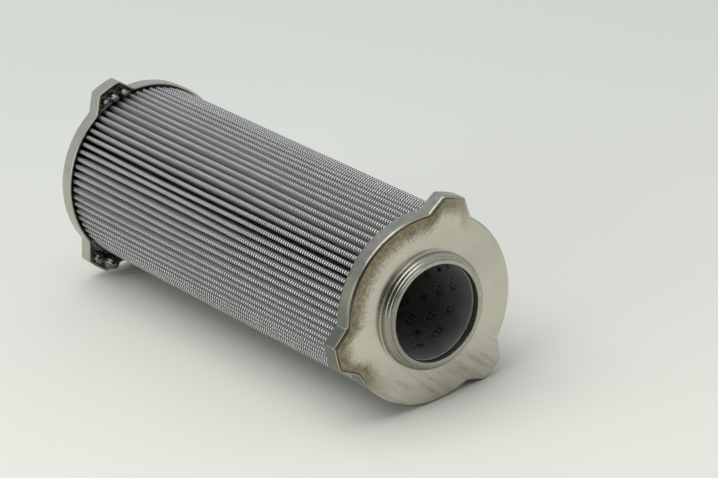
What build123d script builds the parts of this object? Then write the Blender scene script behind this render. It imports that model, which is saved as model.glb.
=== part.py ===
"""Pleated hydraulic filter element, lying on its side.

Two pressed steel end caps with three lobes each hold a pleated pack and a perforated core tube
in resin. The outlet cap has a drawn neck with a groove for a seal ring; the other cap is blind.

Frame: millimetres, +Z up, +X along the axis out of the outlet. The origin is the centre of the
neck's mouth. The element rests on the round edges of both caps and on a lobe of the outlet cap.
"""
from build123d import *
import os
from math import acos, asin, atan2, cos, degrees, hypot, pi, radians, sin

# ---- driving dimensions (mm) ----
overall_length = 182.0        # neck mouth to the closed cap's outer face
cap_radius = 34.0             # round part of both caps
sheet = 0.9                   # cap sheet thickness
skirt_depth = 6.1             # outer face to the skirt's free edge
bend_radius = 1.1             # outside radius where the face turns into the skirt

lobe_count = 3
lobe_height = 5.5             # tips, outside the round rim
lobe_tip_half_angle = 6.75    # degrees, where tip arc and flank meet
lobe_root_half_angle = 15.4   # degrees, where flank and round rim meet
lobe_corner = 1.8             # rounding at the tip corners
lobe_root_fillet = 2.5
cap_turn = 40.0               # degrees, the closed cap's lobes ahead of the outlet cap's

neck_height = 4.4             # above the outlet cap's face
neck_root_fillet = 0.5
neck_shoulder = 1.25          # rounding at the top of the neck's wall
bore_radius = 17.2            # lip and core tube, takes a 34 mm spigot
lip_thickness = 0.7           # axial, above the seal groove
lip_step = 0.4                # the lip stands this far above the shoulder
lip_rounding = 0.3
lip_toe = 0.45                # radial run from the lip's edge down to the shoulder
shoulder_land = 0.05          # flat between the lip's toe and the shoulder's rounding

seal_section = 2.5            # seal ring, drawn at its fitted size
seal_proud = 0.15             # the ring's inner edge stands this far inside the bore
seal_play = 0.05              # to the groove's floor and to each side

tube_wall = 0.8               # perforated core tube
hole_radius = 2.4
holes_round = 12              # in each row
row_pitch = 7.5
plain_end = 9.0               # unperforated length at each end of the tube

pack_to_cap = 0.4             # pleat crests to the inside of the skirts
pack_to_tube = 0.25
crest_bend = 0.38             # centre-line radius of an outer fold
root_bend = 0.42              # centre-line radius of an inner fold
fold_gap = 0.2                # least room between the backs of neighbouring inner folds
layer_gap = 0.01
layers = [                    # from the outside in: name, thickness
    ("outer_support_mesh", 0.16),
    ("outer_fleece", 0.08),
    ("filter_media", 0.14),
    ("inner_fleece", 0.08),
    ("inner_support_mesh", 0.16),
]

resin_bed = 1.2               # under the pleat ends
resin_level = 1.0             # the resin stops this far below the skirt's edge
resin_gap = 0.02              # between the resin and the metal it wets
bank_gap = 0.15               # between the resin's bank and the pleat crests

# ---- places along the axis ----
outlet_face_x = -neck_height
closed_face_x = -overall_length
groove_width = seal_section + 2 * seal_play
tube_outlet_x = -lip_thickness - groove_width
tube_radius = bore_radius + tube_wall
seal_radius = bore_radius - seal_proud + seal_section / 2
groove_radius = seal_radius + seal_section / 2 + seal_play
neck_radius = groove_radius + sheet
lip_radius = neck_radius - neck_shoulder - shoulder_land - lip_toe
lobe_tip_radius = cap_radius + lobe_height
pack_radius = cap_radius - sheet - pack_to_cap
pack_outlet_x = outlet_face_x - sheet - resin_bed
pack_closed_x = closed_face_x + sheet + resin_bed
resin_depth = skirt_depth - resin_level

os.makedirs("parts", exist_ok=True)


def save(shape, name):
    """Write one sub-part to its own STEP file."""
    shape.label = name
    export_step(shape, f"parts/{name}.step")


def across(x):
    """Sketch plane at x, facing +X, with its local x axis along +Y and its local y axis along +Z."""
    return Plane(origin=(x, 0, 0), x_dir=(0, 1, 0), z_dir=(1, 0, 0))


def polar(radius, angle):
    """Point in an across() plane, the angle in degrees from +Y towards +Z."""
    return (radius * cos(radians(angle)), radius * sin(radians(angle)))


def ring(outer, inner, x_low, x_high):
    """Plain ring about the axis between two stations."""
    return extrude(across(x_low) * (Circle(outer) - Circle(inner)), x_high - x_low)


# ---- roll: the outlet cap's lowest lobe stands its corner on the same floor as the round edge ----
flank_start = polar(lobe_tip_radius, lobe_tip_half_angle)
flank_end = polar(cap_radius, lobe_root_half_angle)
flank_run = hypot(flank_end[0] - flank_start[0], flank_end[1] - flank_start[1])
flank_normal = (
    (flank_end[1] - flank_start[1]) / flank_run,
    (flank_start[0] - flank_end[0]) / flank_run,
)
flank_offset = flank_normal[0] * flank_start[0] + flank_normal[1] * flank_start[1]
corner_centre = lobe_tip_radius - lobe_corner
corner_angle = degrees(
    atan2(flank_normal[1], flank_normal[0]) - acos((flank_offset - lobe_corner) / corner_centre)
)
contact_angle = degrees(acos((cap_radius - lobe_corner) / corner_centre))
lowest_lobe = -90 + contact_angle + corner_angle
lobe_angles = [lowest_lobe + k * 360 / lobe_count for k in range(lobe_count)]


# ---- end caps ----
def cap_outline():
    """Round rim with lobes, in an across() plane about the axis."""
    shape = Circle(cap_radius)
    reach = lobe_tip_radius * 1.2 / cos(radians(lobe_tip_half_angle))
    slope = (flank_start[1] - flank_end[1]) / (flank_start[0] - flank_end[0])
    outer_half = flank_end[1] + slope * (reach - flank_end[0])
    lobe = Polyline(
        (0, -flank_end[1]),
        (flank_end[0], -flank_end[1]),
        (reach, -outer_half),
        (reach, outer_half),
        (flank_end[0], flank_end[1]),
        (0, flank_end[1]),
        close=True,
    )
    blade = make_face(lobe) & Circle(lobe_tip_radius)
    for angle in lobe_angles:
        shape += Rot(0, 0, angle) * blade
    corners = [v for v in shape.vertices() if abs(hypot(v.X, v.Y) - lobe_tip_radius) < 0.01]
    shape = fillet(corners, lobe_corner)
    roots = [v for v in shape.vertices() if abs(hypot(v.X, v.Y) - cap_radius) < 0.01]
    return fillet(roots, lobe_root_fillet)


outline = cap_outline()
inside = offset(outline, -sheet)


def tray(face_x, inward):
    """Pressed tray: flat face at face_x, skirt towards inward (+1 or -1 along X)."""
    outer = extrude(across(face_x) * outline, inward * skirt_depth)
    rim = outer.edges().group_by(Axis.X)[0 if inward > 0 else -1]
    outer = fillet(rim, bend_radius)
    hollow = extrude(across(face_x + inward * sheet) * inside, inward * skirt_depth)
    floor_edges = hollow.edges().group_by(Axis.X)[0 if inward > 0 else -1]
    hollow = fillet(floor_edges, max(bend_radius - sheet, 0.2))
    return outer - hollow


def neck():
    """Neck's half section (x, r) turned about the axis, joined to the cap's face sheet."""
    base = outlet_face_x - sheet
    shoulder_x = -lip_step
    with BuildPart() as turned:
        with BuildSketch(Plane.XY) as section:
            with BuildLine():
                Polyline(
                    (base, groove_radius),
                    (-lip_thickness, groove_radius),
                    (-lip_thickness, bore_radius),
                    (0, bore_radius),
                    (0, lip_radius),
                    (shoulder_x - 0.15, lip_radius + lip_toe / 3),
                    (shoulder_x, lip_radius + lip_toe),
                    (shoulder_x, neck_radius),
                    (outlet_face_x, neck_radius),
                    (base, neck_radius),
                    close=True,
                )
            make_face()
            tops = [v for v in section.vertices() if abs(v.X) < 1e-6]
            fillet(tops, lip_rounding)
            shoulder = [
                v for v in section.vertices()
                if abs(v.X - shoulder_x) < 1e-6 and abs(v.Y - neck_radius) < 1e-6
            ]
            fillet(shoulder, neck_shoulder)
        revolve(axis=Axis.X)
    return turned.part


def outlet_cap():
    shell = tray(outlet_face_x, -1)
    opening = extrude(across(outlet_face_x + 1) * Circle(groove_radius), -sheet - 2)
    shell = (shell - opening) + neck()
    root = [
        e for e in shell.edges().filter_by(GeomType.CIRCLE)
        if abs(e.radius - neck_radius) < 1e-4 and abs(e.center().X - outlet_face_x) < 1e-4
    ]
    return fillet(root, neck_root_fillet)


save(outlet_cap(), "outlet_end_cap")
save(Rot(cap_turn, 0, 0) * tray(closed_face_x, 1), "closed_end_cap")


# ---- seal ring ----
seal = Torus(seal_radius, seal_section / 2)
seal_x = -lip_thickness - groove_width / 2
save(Pos(seal_x, 0, 0) * Rot(0, 90, 0) * seal, "neck_seal_ring")


# ---- core tube ----
def core_tube():
    tube = ring(tube_radius, bore_radius, pack_closed_x, tube_outlet_x)
    first = outlet_face_x - sheet - plain_end
    last = pack_closed_x + plain_end
    rows = int((first - last) / row_pitch) + 1
    drills = []
    for row in range(rows):
        turn = (row % 2) * 180 / holes_round
        for k in range(holes_round // 2):
            drill = Cylinder(hole_radius, 2 * tube_radius + 2)
            angle = turn + k * 360 / holes_round
            drills.append(Pos(first - row * row_pitch, 0, 0) * Rot(angle, 0, 0) * drill)
    return tube - drills


save(core_tube(), "core_tube")


# ---- pleated layers ----
pack_thickness = sum(t for _, t in layers) + layer_gap * (len(layers) - 1)
crest_centre = pack_radius - crest_bend - pack_thickness / 2
root_centre = tube_radius + pack_to_tube + root_bend + pack_thickness / 2
root_pitch = 2 * root_bend + pack_thickness + fold_gap
# as many pleats as find room side by side round the core tube: 70 with these sizes
pleat_count = int(pi / asin(root_pitch / (2 * root_centre)))
half_pitch = 180 / pleat_count


def fold_wire(out):
    """Closed zigzag round the axis, at the distance out from the pack's centre line.

    Arcs about the crest and root centres, joined by the straight lines that touch both.
    """
    crest = crest_bend + out
    root = root_bend - out
    a = Vector(*polar(root_centre, 0))
    b = Vector(*polar(crest_centre, half_pitch))
    gap = b - a
    lean = atan2(gap.Y, gap.X) - asin((crest + root) / gap.length)
    side = Vector(-sin(lean), cos(lean))
    leg_low = a + side * root
    leg_high = b - side * crest
    edges = []
    for k in range(pleat_count):
        turn = 2 * half_pitch * k

        def spin(point):
            c = cos(radians(turn))
            s = sin(radians(turn))
            return (point.X * c - point.Y * s, point.X * s + point.Y * c)

        low_mirror = Vector(leg_low.X, -leg_low.Y)
        valley = Vector(root_centre - root, 0)
        edges.append(Edge.make_three_point_arc(spin(low_mirror), spin(valley), spin(leg_low)))
        edges.append(Edge.make_line(spin(leg_low), spin(leg_high)))
        peak = Vector(*polar(crest_centre + crest, half_pitch))
        far = radians(2 * half_pitch)
        mirrored = Vector(
            leg_high.X * cos(far) + leg_high.Y * sin(far),
            leg_high.X * sin(far) - leg_high.Y * cos(far),
        )
        edges.append(Edge.make_three_point_arc(spin(leg_high), spin(peak), spin(mirrored)))
        next_low = Vector(
            low_mirror.X * cos(far) - low_mirror.Y * sin(far),
            low_mirror.X * sin(far) + low_mirror.Y * cos(far),
        )
        edges.append(Edge.make_line(spin(mirrored), spin(next_low)))
    return Wire(edges)


outer_side = pack_thickness / 2
for name, thickness in layers:
    inner_side = outer_side - thickness
    band = Face(fold_wire(outer_side), [fold_wire(inner_side)])
    save(extrude(across(pack_closed_x) * band, pack_outlet_x - pack_closed_x), name)
    outer_side = inner_side - layer_gap


# ---- resin ----
tray_fill = offset(inside, -resin_gap)


def resin(face_x, inward):
    """Resin in a cap's tray: a bed under the pleat ends and a bank round the pack."""
    low = face_x + inward * (sheet + resin_gap)
    depth = resin_depth - sheet
    bank = extrude(across(low) * (tray_fill - Circle(pack_radius + bank_gap)), inward * depth)
    bed = extrude(across(low) * tray_fill, inward * (resin_bed - 2 * resin_gap))
    body = bank + bed
    floor_edges = body.edges().group_by(Axis.X)[0 if inward > 0 else -1]
    return chamfer(floor_edges, max(bend_radius - sheet, 0.2))


save(Rot(cap_turn, 0, 0) * resin(closed_face_x, 1), "closed_end_resin")

# the outlet's resin has the tube through it and rises round the tube to the seal's groove
outlet_resin = resin(outlet_face_x, -1)
tube_clearance = tube_radius + resin_gap
outlet_resin -= extrude(across(pack_outlet_x - 1) * Circle(tube_clearance), neck_height + skirt_depth)
collar_low = outlet_face_x - sheet - resin_bed / 2
outlet_resin += ring(groove_radius - resin_gap, tube_clearance, collar_low, tube_outlet_x)
save(outlet_resin, "outlet_end_resin")
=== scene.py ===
"""Pleated hydraulic filter element: the looks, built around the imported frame.

Metres, +Z up, +X along the axis out of the outlet, origin at the centre of the neck's mouth.
Shapes are worked out in mm and scaled by MM; the materials measure in metres.
"""
import bpy
import numpy as np
from mathutils import Matrix, Vector


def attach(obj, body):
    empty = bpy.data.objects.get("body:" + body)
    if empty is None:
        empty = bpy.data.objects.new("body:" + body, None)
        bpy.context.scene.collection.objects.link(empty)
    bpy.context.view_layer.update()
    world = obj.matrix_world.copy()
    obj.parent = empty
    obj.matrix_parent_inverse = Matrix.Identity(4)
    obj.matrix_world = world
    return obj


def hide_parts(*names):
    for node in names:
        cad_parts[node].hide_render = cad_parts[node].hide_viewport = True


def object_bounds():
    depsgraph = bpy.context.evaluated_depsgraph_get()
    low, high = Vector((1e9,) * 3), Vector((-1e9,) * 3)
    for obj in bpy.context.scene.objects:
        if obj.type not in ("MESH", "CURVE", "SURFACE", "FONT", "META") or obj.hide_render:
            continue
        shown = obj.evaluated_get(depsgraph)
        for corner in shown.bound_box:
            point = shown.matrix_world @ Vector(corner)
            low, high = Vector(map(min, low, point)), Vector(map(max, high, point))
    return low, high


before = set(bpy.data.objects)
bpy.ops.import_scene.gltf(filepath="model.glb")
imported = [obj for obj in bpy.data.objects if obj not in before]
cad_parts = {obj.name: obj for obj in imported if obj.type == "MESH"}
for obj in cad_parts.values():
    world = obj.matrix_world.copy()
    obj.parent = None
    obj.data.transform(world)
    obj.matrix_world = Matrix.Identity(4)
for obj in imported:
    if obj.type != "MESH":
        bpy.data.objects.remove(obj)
cad_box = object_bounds()
scene = bpy.context.scene
MM = 0.001

# ---- Studio ----------------------------------------------------------------------------
# Long lens from the outlet's side, a pale table that runs out of view, a wide soft box
# overhead, a weaker one low at the side and an even room light.
eye = Vector((0.97136, -0.66943, 0.57227))
look = Vector((-0.75822, 0.50093, -0.41734))
right = Vector((0.58859, 0.80124, -0.10762))
up = right.cross(look).normalized()
right = look.cross(up).normalized()
turn = Matrix((right, up, -look)).transposed().to_4x4()
camera = bpy.data.objects.new("camera", bpy.data.cameras.new("camera"))
camera.matrix_world = Matrix.Translation(eye) @ turn
camera.data.lens = 196.88
camera.data.sensor_width = 36.0
scene.collection.objects.link(camera)
scene.camera = camera
scene.view_settings.view_transform = "Standard"


class Finish:
    """One material. Each call adds a node and returns its output, so a finish reads as a sum."""

    def __init__(self, name):
        self.material = bpy.data.materials.new(name)
        self.material.use_nodes = True
        self.nodes = self.material.node_tree.nodes
        self.links = self.material.node_tree.links
        self.shader = self.nodes["Principled BSDF"]

    def put(self, socket, value):
        """A link where value is another node's output, and otherwise the socket's own value."""
        if isinstance(value, bpy.types.NodeSocket):
            self.links.new(value, socket)
        else:
            socket.default_value = value

    def node(self, kind, inputs, output=0, **settings):
        made = self.nodes.new("ShaderNode" + kind)
        for key, value in settings.items():
            setattr(made, key, value)
        for key, value in inputs.items():
            self.put(made.inputs[key], value)
        return made.outputs[output]

    def place(self):
        return self.node("TexCoord", {}, "Object")

    def field(self, name):
        """A number that the mesh carries at each vertex."""
        return self.node("Attribute", {}, "Fac", attribute_name=name)

    def math(self, operation, a, b=0.0, c=0.0, clamp=False):
        return self.node("Math", {0: a, 1: b, 2: c}, operation=operation, use_clamp=clamp)

    def product(self, *values):
        total = values[0]
        for value in values[1:]:
            total = self.math("MULTIPLY", total, value)
        return total

    def scaled(self, vector, factors):
        return self.node("VectorMath", {0: vector, 1: factors}, operation="MULTIPLY")

    def coordinate(self, vector, letter):
        return self.node("SeparateXYZ", {0: vector}, letter)

    def towards(self, vector, way):
        """How far a vector goes in the direction way."""
        return self.node("VectorMath", {0: vector, 1: way}, "Value", operation="DOT_PRODUCT")

    def across(self, vector):
        """A vector without its part along the element's axis."""
        return self.scaled(vector, (0.0, 1.0, 1.0))

    def from_axis(self, place):
        """Distance from the element's axis."""
        return self.node("VectorMath", {0: self.across(place)}, "Value", operation="LENGTH")

    def noise(self, vector, scale, detail=3.0, roughness=0.55):
        inputs = {"Vector": vector, "Scale": scale, "Detail": detail, "Roughness": roughness}
        return self.node("TexNoise", inputs)

    def step(self, value, low, high):
        """0 below low and 1 above high, with a smooth rise between (low may be the larger)."""
        inputs = {"Value": value, "From Min": low, "From Max": high}
        return self.node("MapRange", inputs, interpolation_type="SMOOTHSTEP")

    def between(self, value, low, high):
        """A noise value, 0.3 to 0.7, mapped to low to high and held at those beyond."""
        inputs = {"Value": value, "From Min": 0.3, "From Max": 0.7, "To Min": low, "To Max": high}
        return self.node("MapRange", inputs)

    def blend(self, factor, a, b):
        """Colour a where factor is 0 and b where it is 1."""
        rgba = [(*v, 1.0) if isinstance(v, tuple) else v for v in (a, b)]
        return self.node("Mix", {0: factor, 6: rgba[0], 7: rgba[1]}, 2, data_type="RGBA")

    def bump(self, height, distance, strength=1.0, under=None):
        """A bumped normal, on top of the bumps of under."""
        inputs = {"Height": height, "Distance": distance, "Strength": strength}
        if under is not None:
            inputs["Normal"] = under
        return self.node("Bump", inputs)

    def finish(self, **values):
        """Sets the shader's sockets, named with _ for a space, and returns the material."""
        for key, value in values.items():
            self.put(self.shader.inputs[key.replace("_", " ")], value)
        return self.material


def area_light(name, place, target, size, power, colour):
    """Rectangular soft box at place, facing target, not itself in view."""
    lamp = bpy.data.lights.new(name, "AREA")
    lamp.shape = "RECTANGLE"
    lamp.size, lamp.size_y = size
    lamp.energy = power
    lamp.color = colour
    body = bpy.data.objects.new(name, lamp)
    aim = (Vector(target) - Vector(place)).to_track_quat("-Z", "Y")
    body.matrix_world = Matrix.Translation(place) @ aim.to_matrix().to_4x4()
    body.visible_camera = False
    scene.collection.objects.link(body)


area_light(
    "overhead_box", place=(-0.18, -0.30, 1.20), target=(-0.09, 0.0, 0.0),
    size=(1.2, 1.2), power=8.0, colour=(1.0, 0.985, 0.95),
)
area_light(
    "side_fill", place=(-0.45, -1.20, 0.35), target=(-0.09, 0.0, -0.03),
    size=(1.4, 0.7), power=4.0, colour=(1.0, 0.985, 0.94),
)


def lit_room():
    """Even pale room light, with the unlit side of the room behind the camera.

    The strength falls as the cosine of the angle off straight behind the camera rises.
    """
    room = bpy.data.worlds.new("room")
    room.use_nodes = True
    nodes, links = room.node_tree.nodes, room.node_tree.links
    way = nodes.new("ShaderNodeTexCoord")
    facing = nodes.new("ShaderNodeVectorMath")
    facing.operation = "DOT_PRODUCT"
    facing.inputs[1].default_value = -look
    links.new(way.outputs["Generated"], facing.inputs[0])
    shade = nodes.new("ShaderNodeMapRange")
    shade.interpolation_type = "SMOOTHSTEP"
    fall = {"From Min": 0.72, "From Max": 0.93, "To Min": 0.66, "To Max": 0.03}
    for key, value in fall.items():
        shade.inputs[key].default_value = value
    links.new(facing.outputs["Value"], shade.inputs["Value"])
    links.new(shade.outputs[0], nodes["Background"].inputs["Strength"])
    nodes["Background"].inputs["Color"].default_value = (0.95, 0.97, 1.0, 1.0)
    scene.world = room


lit_room()


def grid_object(name, points, closed=(False, False), poles=(False, False), fields=None):
    """Smooth mesh over a grid of points (rows, columns, 3) in metres.

    Its faces look along column direction x row direction. A closed direction joins its last
    line to its first. A pole makes its end row one vertex. Each field is a number per point.
    """
    rows, columns = points.shape[:2]
    index = np.arange(rows * columns).reshape(rows, columns)
    if poles[0]:
        index[0] = index[0, 0]
    if poles[1]:
        index[-1] = index[-1, 0]
    down = np.arange(rows if closed[0] else rows - 1)
    along = np.arange(columns if closed[1] else columns - 1)
    r, c = np.meshgrid(down, along, indexing="ij")
    r2, c2 = (r + 1) % rows, (c + 1) % columns
    quads = np.stack([index[r, c], index[r, c2], index[r2, c2], index[r2, c]], -1)
    used, quads = np.unique(quads.reshape(-1, 4), return_inverse=True)
    faces = [tuple(dict.fromkeys(quad)) for quad in quads.reshape(-1, 4).tolist()]
    mesh = bpy.data.meshes.new(name)
    mesh.from_pydata(points.reshape(-1, 3)[used].tolist(), [], faces)
    mesh.shade_smooth()
    for key, values in (fields or {}).items():
        layer = mesh.attributes.new(key, "FLOAT", "POINT")
        layer.data.foreach_set("value", values.reshape(-1)[used].astype(np.float32))
    piece = bpy.data.objects.new(name, mesh)
    scene.collection.objects.link(piece)
    return piece


def table_top(half_side):
    """Flat square about the origin, level with the element's lowest point."""
    side = np.array([-half_side, half_side])
    y, x = np.meshgrid(side, side, indexing="ij")
    return np.stack([x, y, np.full_like(x, cad_box[0].z)], -1)


def table_finish():
    """Matt off-white board, painted a little cooler and greyer towards the back as light falloff.
    """
    f = Finish("table_board")
    depth = f.towards(f.place(), (-0.835, 0.551, 0.0))
    # painted shade: the board darkens and cools towards the back, as falloff of the light
    tone = f.blend(f.step(depth, -0.12, 0.36), (0.855, 0.86, 0.79), (0.71, 0.735, 0.695))
    grain = f.bump(f.noise(f.place(), 900.0, 2.0), 0.00004)
    return f.finish(Base_Color=tone, Roughness=0.75, Normal=grain, Specular_IOR_Level=0.25)


table = grid_object("table", table_top(12.0))
table.data.materials.append(table_finish())

# ---- End caps --------------------------------------------------------------------------
# Both caps are pressed from zinc-plated steel sheet: a flat face, a tight bend and a short
# skirt, with three lobes. Flux and resin fumes left brown streaks inside the bend.
CAP_RADIUS, TIP_RADIUS = 34.0, 39.5
TIP_CORNER, ROOT_FILLET = 1.8, 2.5
OUTLET_LOBES = (-53.15, 66.85, 186.85)  # degrees about the axis
CLOSED_LOBES = (-13.15, 106.85, 226.85)
FLANK_TIP, FLANK_FOOT = np.radians(6.75), np.radians(15.4)  # its ends, off the lobe's middle
SHEET, SKIRT, BEND = 0.9, 6.1, 1.1
EDGE_OUTSIDE, EDGE_INSIDE = 0.12, 0.1  # rounding of the skirt's free edge
OUTLET_FACE, CLOSED_FACE = -4.4, -182.0  # x of the outer faces
NECK_FOOT, NECK_INSIDE = 21.8, 20.0  # radii where the flat face ends, outside and inside
# the neck's profile as x off the face and radius, from its foot outside, over the mouth and
# the lip, to its foot inside
NECK_SECTION = [
    (0.0, 21.4), (0.0, 20.9), (0.25, 20.45), (0.8, 20.4), (1.6, 20.62), (2.3, 20.62), (2.85, 20.3),
    (3.12, 19.98), (3.22, 19.8), (3.3, 19.72), (3.7, 19.55), (3.95, 19.2), (3.97, 18.98),
    (3.88, 18.86), (4.0, 18.78), (4.3, 18.72), (4.42, 18.4), (4.42, 17.6), (4.3, 17.28),
    (4.0, 17.2), (3.72, 17.2), (3.7, 17.3), (3.7, 19.4), (3.6, 19.58), (1.0, 19.6), (-0.8, 19.6),
    (-0.9, 19.7),
]


def straight(start, end, count):
    """Rows of centre, radius and angle along the flank between two arcs, which share a normal."""
    t = (np.arange(count)[:, None] + 0.5) / count
    angle = (start[3] + end[3]) / 2
    normal = np.array([np.cos(angle), np.sin(angle)])
    first = start[:2] + start[2] * normal
    last = end[:2] + end[2] * normal
    centres = first + (last - first) * t - normal * TIP_CORNER
    return np.column_stack([centres, np.full(count, TIP_CORNER), np.full(count, angle)])


def lobed_outline(lobes):
    """Cap outline as centre, radius and normal angle at each of 336 points, in mm.

    Each half lobe is a tip arc, a corner arc, a straight flank, a hollow fillet and a rim arc.
    A point is centre + radius * normal, so an inward offset only takes from the radius.
    """
    tip = TIP_RADIUS * np.array([np.cos(FLANK_TIP), np.sin(FLANK_TIP)])
    foot = CAP_RADIUS * np.array([np.cos(FLANK_FOOT), np.sin(FLANK_FOOT)])
    run = (foot - tip) / np.linalg.norm(foot - tip)
    flank = np.arctan2(-run[0], run[1])
    reach = tip @ [np.cos(flank), np.sin(flank)]
    corner_r, fillet_r = TIP_RADIUS - TIP_CORNER, CAP_RADIUS + ROOT_FILLET
    corner_a = flank - np.arccos((reach - TIP_CORNER) / corner_r)
    fillet_a = flank - np.arccos((reach + ROOT_FILLET) / fillet_r)
    corner = corner_r * np.array([np.cos(corner_a), np.sin(corner_a)])
    fillet = fillet_r * np.array([np.cos(fillet_a), np.sin(fillet_a)])
    midway = np.pi / 3
    arcs = [
        ((0, 0), TIP_RADIUS, 0.0, corner_a, 8),
        (corner, TIP_CORNER, corner_a, flank, 8),
        (fillet, -ROOT_FILLET, flank, fillet_a, 8),
        ((0, 0), CAP_RADIUS, fillet_a, midway, 24),
    ]
    parts = []
    for centre, radius, start, end, count in arcs:
        t = (np.arange(count) + 0.5) / count
        angle = start + (end - start) * t
        centres = np.tile(centre, (count, 1))
        parts.append(np.column_stack([centres, np.full(count, radius), angle]))
    half = np.vstack(parts[:2] + [straight(parts[1][-1], parts[2][0], 8)] + parts[2:])
    mirrored = half[::-1] * [1, -1, 1, -1]
    lobe = np.vstack([mirrored, half])
    turned = []
    for degrees in lobes:
        a = np.radians(degrees)
        c, s = np.cos(a), np.sin(a)
        centres = lobe[:, :2] @ [[c, s], [-s, c]]
        turned.append(np.column_stack([centres, lobe[:, 2], lobe[:, 3] + a]))
    return np.vstack(turned)


def outline_points(outline, inset):
    """The outline moved inwards by inset: centre + (radius - inset) * normal."""
    normal = np.stack([np.cos(outline[:, 3]), np.sin(outline[:, 3])], -1)
    return outline[:, :2] + (outline[:, 2] - inset)[..., None] * normal


def softened(rows, rounds, closed):
    """Corner cutting: each span keeps only its quarter and three-quarter points, each round."""
    rows = np.asarray(rows, float)
    for _ in range(rounds):
        after = np.roll(rows, -1, axis=0)
        cut = np.stack([rows * 0.75 + after * 0.25, rows * 0.25 + after * 0.75], 1)
        cut = cut.reshape(-1, rows.shape[1])
        rows = cut if closed else np.vstack([rows[:1], cut[:-2], rows[-1:]])
    return rows


def carried_round(stations, outline):
    """A profile carried round the lobed outline, in metres.

    Each station is (x, inset, circle, share) in mm: the point lies between the outline moved
    inwards by inset and a circle about the axis, by share, both at the same angle.
    """
    x, inset, circle, share = np.asarray(stations)[:, :4].T[:, :, None]
    rim = outline_points(outline, 0.0)
    ray = rim / np.linalg.norm(rim, axis=1)[:, None]
    share = share[..., None]
    flat = outline_points(outline, inset) * (1 - share) + circle[..., None] * ray * share
    return np.concatenate([np.broadcast_to(x[..., None], flat[..., :1].shape), flat], -1) * MM


def edge_distance(points, outline):
    """How far each grid point lies inside the rim, in mm, measured along the ray to the axis."""
    rim = np.hypot(*outline_points(outline, 0.0).T)
    return rim - np.hypot(points[..., 1], points[..., 2]) / MM


def skirt_stations(face, way):
    """Outside of a cap from the skirt's free edge over the bend, then the inside back again.

    face is the outer face's x and way the direction, +1 or -1, from the face to the skirt.
    Each list holds depths below the face and insets from the rim, made into stations.
    """
    t = np.radians([0, 22.5, 45, 67.5, 90])
    hollow = BEND - SHEET
    outer = [(SKIRT, SHEET / 2), (SKIRT, EDGE_OUTSIDE), (SKIRT - EDGE_OUTSIDE, 0.0)]
    outer += [(depth, 0.0) for depth in (5.0, 4.0, 3.0, 2.2)]
    outer += [(BEND - BEND * np.sin(a), BEND - BEND * np.cos(a)) for a in t]
    inner = [(BEND - hollow * np.sin(a), BEND - hollow * np.cos(a)) for a in t[::-1]]
    inner += [(depth, SHEET) for depth in (2.5, 4.0, 5.5)]
    inner += [(SKIRT - EDGE_INSIDE, SHEET), (SKIRT, SHEET - EDGE_INSIDE)]
    return [[(face + way * depth, inset, 0.0, 0.0) for depth, inset in s] for s in (outer, inner)]


def face_stations(x, inset, circle, count):
    """Flat face between the inset outline and a circle."""
    return [(x, inset, circle, share) for share in np.linspace(0, 1, count + 2)[1:]]


def outlet_cap_stations():
    """Skirt, bend, face, drawn neck with its rolled shoulder and lip, and the inside."""
    outer, inner = skirt_stations(OUTLET_FACE, -1)
    face = face_stations(OUTLET_FACE, BEND, NECK_FOOT, 12)
    neck = [(OUTLET_FACE + x, BEND, radius, 1.0) for x, radius in NECK_SECTION]
    back = face_stations(OUTLET_FACE - SHEET, BEND, NECK_INSIDE, 6)[::-1]
    return softened(outer + face + neck + back + inner, 2, True)


def closed_cap_stations():
    """Blind face from the axis out, bend, skirt, and back along the inside to the axis."""
    outer, inner = skirt_stations(CLOSED_FACE, 1)
    face = face_stations(CLOSED_FACE, BEND, 0.0, 14)[::-1]
    back = face_stations(CLOSED_FACE + SHEET, BEND, 0.0, 8)
    return softened(face + outer[::-1] + inner[::-1] + back, 2, False)


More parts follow.
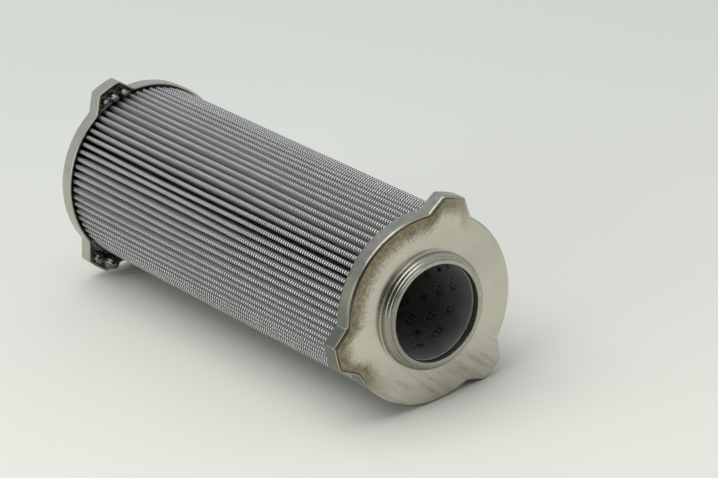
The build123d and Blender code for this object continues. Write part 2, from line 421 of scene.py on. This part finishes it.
def cap_finish():
    """Satin zinc on steel: cloudy tone, duller skirts, painted shade on the skirts' underside and
    the neck, brown stain, scuffed streaks partly painted reflection, a painted dark line in the
    bend, and rubs.
    """
    f = Finish("zinc_plated_sheet")
    place = f.place()
    inside = f.field("edge_distance")
    far_cap = f.step(f.coordinate(place, "X"), -0.08, -0.12)
    spoke = f.node("VectorMath", {0: f.across(place)}, operation="NORMALIZE")
    blots = f.noise(place, 330.0, 5.0, 0.65)
    cloud = f.noise(place, 45.0, 3.0)
    tone = f.blend(f.between(cloud, 0.0, 1.0), (0.62, 0.595, 0.515), (0.52, 0.50, 0.43))
    # the skirts are duller than the faces, and the closed cap's skirt is cleaner; the neck is
    # duller too, partly painted shade for the dark room it reflects, and the underside gets
    # painted shade
    neck = f.step(f.from_axis(place), 0.0212, 0.0204)
    neck = f.product(neck, f.math("MULTIPLY_ADD", far_cap, -0.65, 0.65))
    dull_and_shaded = f.math("MAXIMUM", f.step(inside, 0.5, 0.1), neck)
    dirt_and_shade = f.blend(f.between(blots, 0.0, 1.0), (0.27, 0.275, 0.23), (0.41, 0.41, 0.355))
    # painted shade: the underside of the skirts and neck, facing down and to the side, painted
    # darker
    under = f.product(f.step(f.towards(spoke, (0.0, -0.94, -0.34)), 0.0, 0.8), 0.8)
    dirt_and_shade = f.blend(under, dirt_and_shade, (0.13, 0.13, 0.105))
    dirt_and_shade = f.blend(far_cap, dirt_and_shade, (0.46, 0.465, 0.40))
    tone = f.blend(dull_and_shaded, tone, dirt_and_shade)
    # brown stain on one side of the cap, in streaks that reach in from the bend: their noise
    # changes quickly round the cap and slowly inwards
    depth = f.node("CombineXYZ", {0: f.product(inside, 0.03)})
    spread = f.node("VectorMath", {0: spoke, 1: depth}, operation="ADD")
    streaks = f.noise(spread, 34.0, 6.0, 0.7)
    side = f.towards(spoke, (0.0, -0.74, 0.67))
    arc = f.step(side, -0.15, 0.5)
    reach = f.between(streaks, 5.5, 11.5)
    band = f.product(f.step(inside, 0.8, 1.4), f.step(inside, reach, 3.0))
    marks = f.product(f.between(blots, 0.75, 1.15), f.between(streaks, 0.7, 1.15))
    stain = f.math("MULTIPLY", f.product(arc, band), marks, clamp=True)
    tone = f.blend(f.product(stain, 0.95), tone, (0.19, 0.15, 0.075))
    # streaks that run down across the low part of the face, partly scuffs and partly painted
    # reflection
    slant = f.node("VectorRotate", {"Vector": place, "Axis": (1.0, 0.0, 0.0), "Angle": 0.78})
    scuff_and_reflection_streaks = f.noise(f.scaled(slant, (1.0, 0.16, 1.0)), 420.0, 4.0, 0.6)
    low = f.step(f.coordinate(place, "Z"), -0.012, -0.026)
    worn_and_reflected = f.product(low, f.step(scuff_and_reflection_streaks, 0.42, 0.70), 0.45)
    tone = f.blend(worn_and_reflected, tone, (0.25, 0.25, 0.19))
    # painted shade in the bend, on the stained side: a dark line standing in for the dark room the
    # bend reflects
    line = f.product(f.step(inside, 0.35, 0.6), f.step(inside, 1.3, 1.0))
    line = f.product(line, f.product(f.step(side, 0.0, 0.5), 0.9))
    tone = f.blend(line, tone, (0.035, 0.028, 0.018))
    # fine rub marks, and a rougher surface where it is stained
    rubs = f.noise(f.scaled(place, (1.0, 0.15, 1.0)), 900.0, 3.0, 0.6)
    rough = f.math("ADD", f.between(rubs, 0.20, 0.30), f.product(stain, 0.22))
    height = f.bump(rubs, 0.00001, 0.4, f.bump(cloud, 0.0003, 0.5))
    return f.finish(Base_Color=tone, Metallic=1.0, Roughness=rough, Normal=height)


cap_metal = cap_finish()
outlines = {"outlet": lobed_outline(OUTLET_LOBES), "closed": lobed_outline(CLOSED_LOBES)}
for end, rows, loop in (
    ("outlet", outlet_cap_stations(), True),
    ("closed", closed_cap_stations(), False),
):
    node_name = end + "_end_cap"
    points = carried_round(rows, outlines[end])
    fields = {"edge_distance": edge_distance(points, outlines[end])}
    cap = grid_object(node_name + "_shell", points, (loop, True), (not loop, not loop), fields)
    cap.data.materials.append(cap_metal)
    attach(cap, "root")
    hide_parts(node_name)

# ---- Seal ring -------------------------------------------------------------------------
# A moulded black rubber ring sits in the neck's groove, behind the lip, and stands a little
# into the bore.
SEAL_CENTRE, SEAL_RADIUS, SEAL_SECTION = -2.0, 18.3, 1.25


def ring_surface(x, radius, section, around=160, across=24):
    """Torus about the axis: a circle of radius section carried round a circle of radius."""
    a = np.linspace(0, 2 * np.pi, around, endpoint=False)[:, None]
    b = np.linspace(0, 2 * np.pi, across, endpoint=False)[None, :]
    out = radius + section * np.cos(b)
    return np.stack([x + section * np.sin(b) + 0 * a, out * np.cos(a), out * np.sin(a)], -1) * MM


def rubber_finish():
    """Black rubber, semi-matt, with a faint bloom."""
    f = Finish("seal_rubber")
    bloom = f.noise(f.place(), 350.0)
    tone = f.blend(f.between(bloom, 0.0, 1.0), (0.016, 0.016, 0.016), (0.032, 0.032, 0.031))
    return f.finish(Base_Color=tone, Roughness=f.between(bloom, 0.42, 0.6))


ring = ring_surface(SEAL_CENTRE, SEAL_RADIUS, SEAL_SECTION)
seal = grid_object("neck_seal", ring, (True, True))
seal.data.materials.append(rubber_finish())
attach(seal, "root")
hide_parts("neck_seal_ring")

# ---- Core tube -------------------------------------------------------------------------
# The perforated tube carries the pleats from inside and keeps its CAD mesh. It is dull dark
# plated steel, with its cut end painted near white: bare metal and a painted highlight.


def tube_finish():
    """Dull dark plating with rub marks, and bare metal on the cut end, painted near white as a
    highlight.
    """
    f = Finish("dark_plated_tube")
    place = f.place()
    end = f.step(f.coordinate(place, "X"), -0.00345, -0.00335)
    smear = f.noise(f.scaled(place, (0.2, 1.0, 1.0)), 160.0, 4.0)
    tone = f.blend(f.between(smear, 0.0, 1.0), (0.25, 0.26, 0.25), (0.34, 0.34, 0.33))
    # painted highlight: the bare cut end is painted near white so that it shows as a bright line
    tone = f.blend(end, tone, (0.92, 0.91, 0.87))
    rough = f.between(smear, 0.42, 0.6)
    return f.finish(Base_Color=tone, Metallic=0.2, Roughness=rough, Normal=f.bump(smear, 0.00003))


tube_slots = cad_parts["core_tube"].data.materials
tube_slots.clear()
tube_slots.append(tube_finish())

# ---- Pleated pack ----------------------------------------------------------------------
# Wire mesh, fleece and glass fibre are folded together into 70 pleats and closed into a
# round pack. The outer wire mesh shows: its crossing wires catch the light along each crest.
PLEATS = 70
CREST_CENTRE, ROOT_CENTRE = 31.99, 19.0  # where the folds' arcs are centred
CREST_BEND, ROOT_BEND = 0.38, 0.42  # the folds' radii at the middle of the pack's layers
PACK_ENDS = (-179.9, -6.5)
SWAY, LEAN = 0.16, 0.24  # how far a crest waves and leans sideways
RIPPLE, LIFT = 0.08, 0.14  # how far it waves and lifts outwards
SWAY_RUN, RIPPLE_RUN = 9.0, 6.0  # the waves' radians over the pack's length
CROSS_PITCH, ALONG_PITCH = 1.27, 0.85  # between the wires across the crests and along them
half_pitch = np.pi / PLEATS
# each pleat's start in its waves, then its own steady lean and lift
sway_phase, lift_phase = np.random.default_rng(12).uniform(0, 2 * np.pi, (2, PLEATS))
lean_bias, lift_bias = np.random.default_rng(7).uniform(-1, 1, (2, PLEATS))


def fold_line(out, arc_steps, leg_steps):
    """One closed run of pleats, at a distance out from the middle of the pack's layers.

    Arcs about the root and crest centres, joined by the straight legs that touch both. Gives
    each point's radius, angle, pleat number and length along the run.
    """
    crest, root = CREST_BEND + out, ROOT_BEND - out
    a = np.array([ROOT_CENTRE, 0.0])
    b = CREST_CENTRE * np.array([np.cos(half_pitch), np.sin(half_pitch)])
    gap = b - a
    lean = np.arctan2(gap[1], gap[0]) - np.arcsin((crest + root) / np.linalg.norm(gap))
    t = np.linspace(0, 1, arc_steps + 1)
    low = (lean + np.pi / 2) + (np.pi / 2 - lean) * (1 - t)
    high = (lean - np.pi / 2) + (half_pitch - lean + np.pi / 2) * t
    low_arc = a + root * np.column_stack([np.cos(low), np.sin(low)])
    high_arc = b + crest * np.column_stack([np.cos(high), np.sin(high)])
    s = np.linspace(0, 1, leg_steps + 1)[1:-1, None]
    leg = low_arc[-1] + (high_arc[0] - low_arc[-1]) * s
    rise = np.vstack([low_arc, leg, high_arc])
    radius, angle = np.hypot(*rise.T), np.arctan2(rise[:, 1], rise[:, 0])
    radius = np.concatenate([radius, radius[-2:0:-1]])
    angle = np.concatenate([angle, 2 * half_pitch - angle[-2:0:-1]])
    pleat = np.repeat(np.arange(PLEATS), len(radius))
    radius = np.tile(radius, PLEATS)
    angle = np.tile(angle, PLEATS) + pleat * 2 * half_pitch
    flat = np.column_stack([radius * np.cos(angle), radius * np.sin(angle)])
    length = np.cumsum(np.linalg.norm(flat - np.roll(flat, 1, axis=0), axis=1))
    return radius, angle, pleat, length


def pleated_sheet(out, thickness, arc_steps, leg_steps, stations):
    """Closed sheet of pleats: the outer face along x, then the inner face back.

    Towards the crest each pleat leans, by up to 0.4 mm, and lifts, by up to 0.22 mm: a steady
    amount and a slow wave along x, both fading to nothing at the ends, where resin holds it.
    """
    x = np.linspace(*PACK_ENDS, stations)
    sheets = []
    for offset, line in ((out, x), (out - thickness, x[::-1])):
        radius, angle, pleat, length = fold_line(offset, arc_steps, leg_steps)
        run = (line[:, None] - PACK_ENDS[0]) / (PACK_ENDS[1] - PACK_ENDS[0])
        free = np.sin(np.pi * run) ** 0.5
        reach = np.clip((radius - ROOT_CENTRE) / (CREST_CENTRE - ROOT_CENTRE), 0, 1)
        sway = SWAY * np.sin(SWAY_RUN * run + sway_phase[pleat]) + LEAN * lean_bias[pleat]
        lift = RIPPLE * np.sin(RIPPLE_RUN * run + lift_phase[pleat]) + LIFT * lift_bias[pleat]
        r = radius + lift * free * reach
        a = angle + sway * free * reach / CREST_CENTRE
        face = np.stack([line[:, None] + 0 * r, r * np.cos(a), r * np.sin(a)], -1) * MM
        sheets.append((face, np.broadcast_to(length, r.shape)))
    return np.concatenate([s[0] for s in sheets]), np.concatenate([s[1] for s in sheets])


def wire_finish(name, light, dark):
    """Plain-woven steel wire: thick wires across the crests and finer ones along them.

    Each wire is a cosine wave, sharpened by a power, and rises over every second crossing.
    """
    f = Finish(name)
    place = f.place()
    x = f.product(f.coordinate(place, "X"), 1 / MM)
    cross_wave = f.math("COSINE", f.product(x, np.pi / CROSS_PITCH))
    along_wave = f.math("COSINE", f.product(f.field("developed_length"), np.pi / ALONG_PITCH))
    over = f.product(cross_wave, along_wave)
    cross_wire = f.math("POWER", f.math("ABSOLUTE", cross_wave), 2.2)
    along_wire = f.math("POWER", f.math("ABSOLUTE", along_wave), 3.0)
    cross_top = f.product(cross_wire, f.math("MULTIPLY_ADD", over, 0.12, 0.88))
    along_top = f.product(along_wire, f.math("MULTIPLY_ADD", over, -0.2, 0.42))
    height = f.math("MAXIMUM", cross_top, along_top)
    smudge = f.noise(place, 140.0)
    wire = f.blend(f.between(smudge, 0.0, 1.0), light, dark)
    # painted shade and light: the gaps in the weave on the crests are painted near black as shade,
    # the flanks' wires painted darker as shade, and the flanks' gaps painted lighter to lift the
    # valleys
    flank = f.step(f.from_axis(place), 0.0325, 0.0315)
    wire = f.blend(flank, wire, tuple(0.85 * v for v in dark))
    # painted light: the gaps down the flanks are lighter than those on the crests
    gap = f.blend(flank, tuple(0.04 * v for v in light), tuple(0.45 * v for v in light))
    tone = f.blend(f.step(height, 0.35, 0.7), gap, wire)
    metal = f.math("MULTIPLY_ADD", flank, -0.35, 0.5)
    return f.finish(Base_Color=tone, Metallic=metal, Roughness=0.34, Normal=f.bump(height, 0.0003))


def fibre_finish(name, light, dark, scale):
    """Matt felted fibres, cloudy and slightly hairy."""
    f = Finish(name)
    hair = f.noise(f.scaled(f.place(), (0.35, 1.0, 1.0)), scale, 5.0, 0.7)
    tone = f.blend(f.between(hair, 0.0, 1.0), dark, light)
    return f.finish(Base_Color=tone, Roughness=0.9, Normal=f.bump(hair, 0.0001), Sheen_Weight=0.15)


weave = wire_finish("woven_wire", (0.86, 0.88, 0.875), (0.70, 0.72, 0.715))
inner_weave = wire_finish("inner_woven_wire", (0.75, 0.75, 0.74), (0.65, 0.65, 0.64))
fleece = fibre_finish("polyester_fleece", (0.50, 0.50, 0.48), (0.40, 0.40, 0.38), 1400.0)
fibre = fibre_finish("glass_fibre", (0.60, 0.60, 0.57), (0.50, 0.50, 0.47), 900.0)
SHOWN_STEPS, HIDDEN_STEPS = (5, 2, 29), (3, 1, 12)  # steps in an arc and a leg, stations along x
for node_name, out, thickness, material, slot_name, steps in (
    # out is from the middle of the pack's layers to the sheet's outer face
    ("outer_support_mesh", 0.33, 0.16, weave, "wire_mesh", SHOWN_STEPS),
    ("outer_fleece", 0.16, 0.08, fleece, "fleece", HIDDEN_STEPS),
    ("filter_media", 0.07, 0.14, fibre, "glass_fibre", HIDDEN_STEPS),
    ("inner_fleece", -0.08, 0.08, fleece, "fleece", HIDDEN_STEPS),
    ("inner_support_mesh", -0.17, 0.16, inner_weave, "wire_mesh", HIDDEN_STEPS),
):
    points, length = pleated_sheet(out, thickness, *steps)
    fields = {"developed_length": length}
    layer = grid_object(node_name + "_pleats", points, (True, True), fields=fields)
    layer.data.materials.append(material)
    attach(layer, "root")
    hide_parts(node_name)

# ---- Resin -----------------------------------------------------------------------------
# Each cap was filled with dark potting resin and the pack set into it. It wets the skirt
# and the pleats, and pooled glossy beads in the pockets of the lobes.
RESIN_GAP = 0.02  # to the cap it fills
RESIN_LEVEL, RESIN_BED = 5.1, 2.08  # depths below the face, of its top and under the pleats
RESIN_INSET, TOE_INSET, TOE_RISE = 0.92, 1.6, 0.4  # wall from the rim, and its foot in the bend
BANK_RADIUS, BANK_DROP = 32.75, 0.6  # where the top meets the pleats, and how far it goes down
CLIMB, SINK = 0.45, 0.15  # the top's rise towards its two edges, and its dip between them
COLLAR_END, COLLAR_BORE, COLLAR_WALL = -3.32, 18.02, 19.56  # round the core tube's end
DROPS = {  # angle round the axis in degrees, radius, size and height, in mm
    "closed": (
        (112.6, 35.6, 1.5, 3.2), (107.0, 35.2, 2.0, 4.4), (100.3, 34.9, 1.8, 4.4),
        (233.0, 35.5, 3.2, 5.6), (225.0, 36.2, 2.4, 3.0), (-15.0, 36.4, 2.0, 1.8),
    ),
    "outlet": (
        (64.0, 36.2, 2.0, 1.7), (70.5, 35.6, 1.4, 1.3), (186.0, 36.3, 2.2, 1.9),
        (-50.0, 36.0, 1.8, 1.5),
    ),
}


def resin_stations(face, way, start, bore):
    """Resin from its start to the skirt, up the wall, over its hollow top, and its bed.

    The bed lies under the pleats and ends at the radius bore. The last number of a station
    marks the top, which carries the drops.
    """
    level, bed = face + way * RESIN_LEVEL, face + way * RESIN_BED
    low = face + way * (SHEET + RESIN_GAP)
    wall = [(low, TOE_INSET, 0, 0, 0), (low + way * TOE_RISE, RESIN_INSET, 0, 0, 0)]
    wall += [(level, RESIN_INSET, 0, 0, 0)]
    shares = np.linspace(0, 1, 12)
    hollow = level + way * (CLIMB * np.abs(2 * shares - 1) ** 3 - SINK)
    top = [(x, RESIN_INSET, BANK_RADIUS, share, 1) for x, share in zip(hollow, shares)]
    under = [(level - way * BANK_DROP, 0, BANK_RADIUS, 1, 0), (bed, 0, BANK_RADIUS, 1, 0)]
    under += [(bed, 0, BANK_RADIUS - 1, 1, 0), (bed, 0, bore, 1, 0)]
    return start + wall + top + under


def with_drops(points, stations, drops, way):
    """Raises the top by the highest drop over each point.

    A drop's rise is its height * (1 - (distance / size) squared) to the power 0.6.
    """
    y, z = points[..., 1] / MM, points[..., 2] / MM
    rise = np.zeros_like(y)
    for degrees, radius, size, height in drops:
        a = np.radians(degrees)
        apart = np.hypot(y - radius * np.cos(a), z - radius * np.sin(a)) / size
        rise = np.maximum(rise, height * np.clip(1 - apart ** 2, 0, 1) ** 0.6)
    points[..., 0] += way * rise * np.asarray(stations)[:, 4:5] * MM
    return points


def resin_finish():
    """Dark brown glossy resin."""
    f = Finish("potting_resin")
    cloud = f.noise(f.place(), 220.0, 2.0)
    tone = f.blend(f.between(cloud, 0.0, 1.0), (0.014, 0.011, 0.008), (0.034, 0.023, 0.013))
    f.finish(Base_Color=tone, Roughness=f.between(cloud, 0.05, 0.11))
    return f.finish(IOR=1.6, Specular_IOR_Level=1.0, Coat_Weight=1.0)


potting = resin_finish()
collar = [
    (COLLAR_END, 0, COLLAR_BORE, 1, 0), (COLLAR_END, 0, COLLAR_WALL, 1, 0),
    (OUTLET_FACE - 0.5, 0, COLLAR_WALL, 1, 0),
]
floor = [(CLOSED_FACE + SHEET + RESIN_GAP, 0, 0, 1, 0)]
for end, face, way, start, bore in (
    ("outlet", OUTLET_FACE, -1, collar, COLLAR_BORE),
    ("closed", CLOSED_FACE, 1, floor, 0),
):
    loop = end == "outlet"
    rows = softened(resin_stations(face, way, start, bore), 2, loop)
    points = with_drops(carried_round(rows, outlines[end]), rows, DROPS[end], way)
    if loop:
        points = points[::-1]
    resin = grid_object(end + "_end_potting", points, (loop, True), (not loop, not loop))
    resin.data.materials.append(potting)
    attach(resin, "root")
    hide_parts(end + "_end_resin")
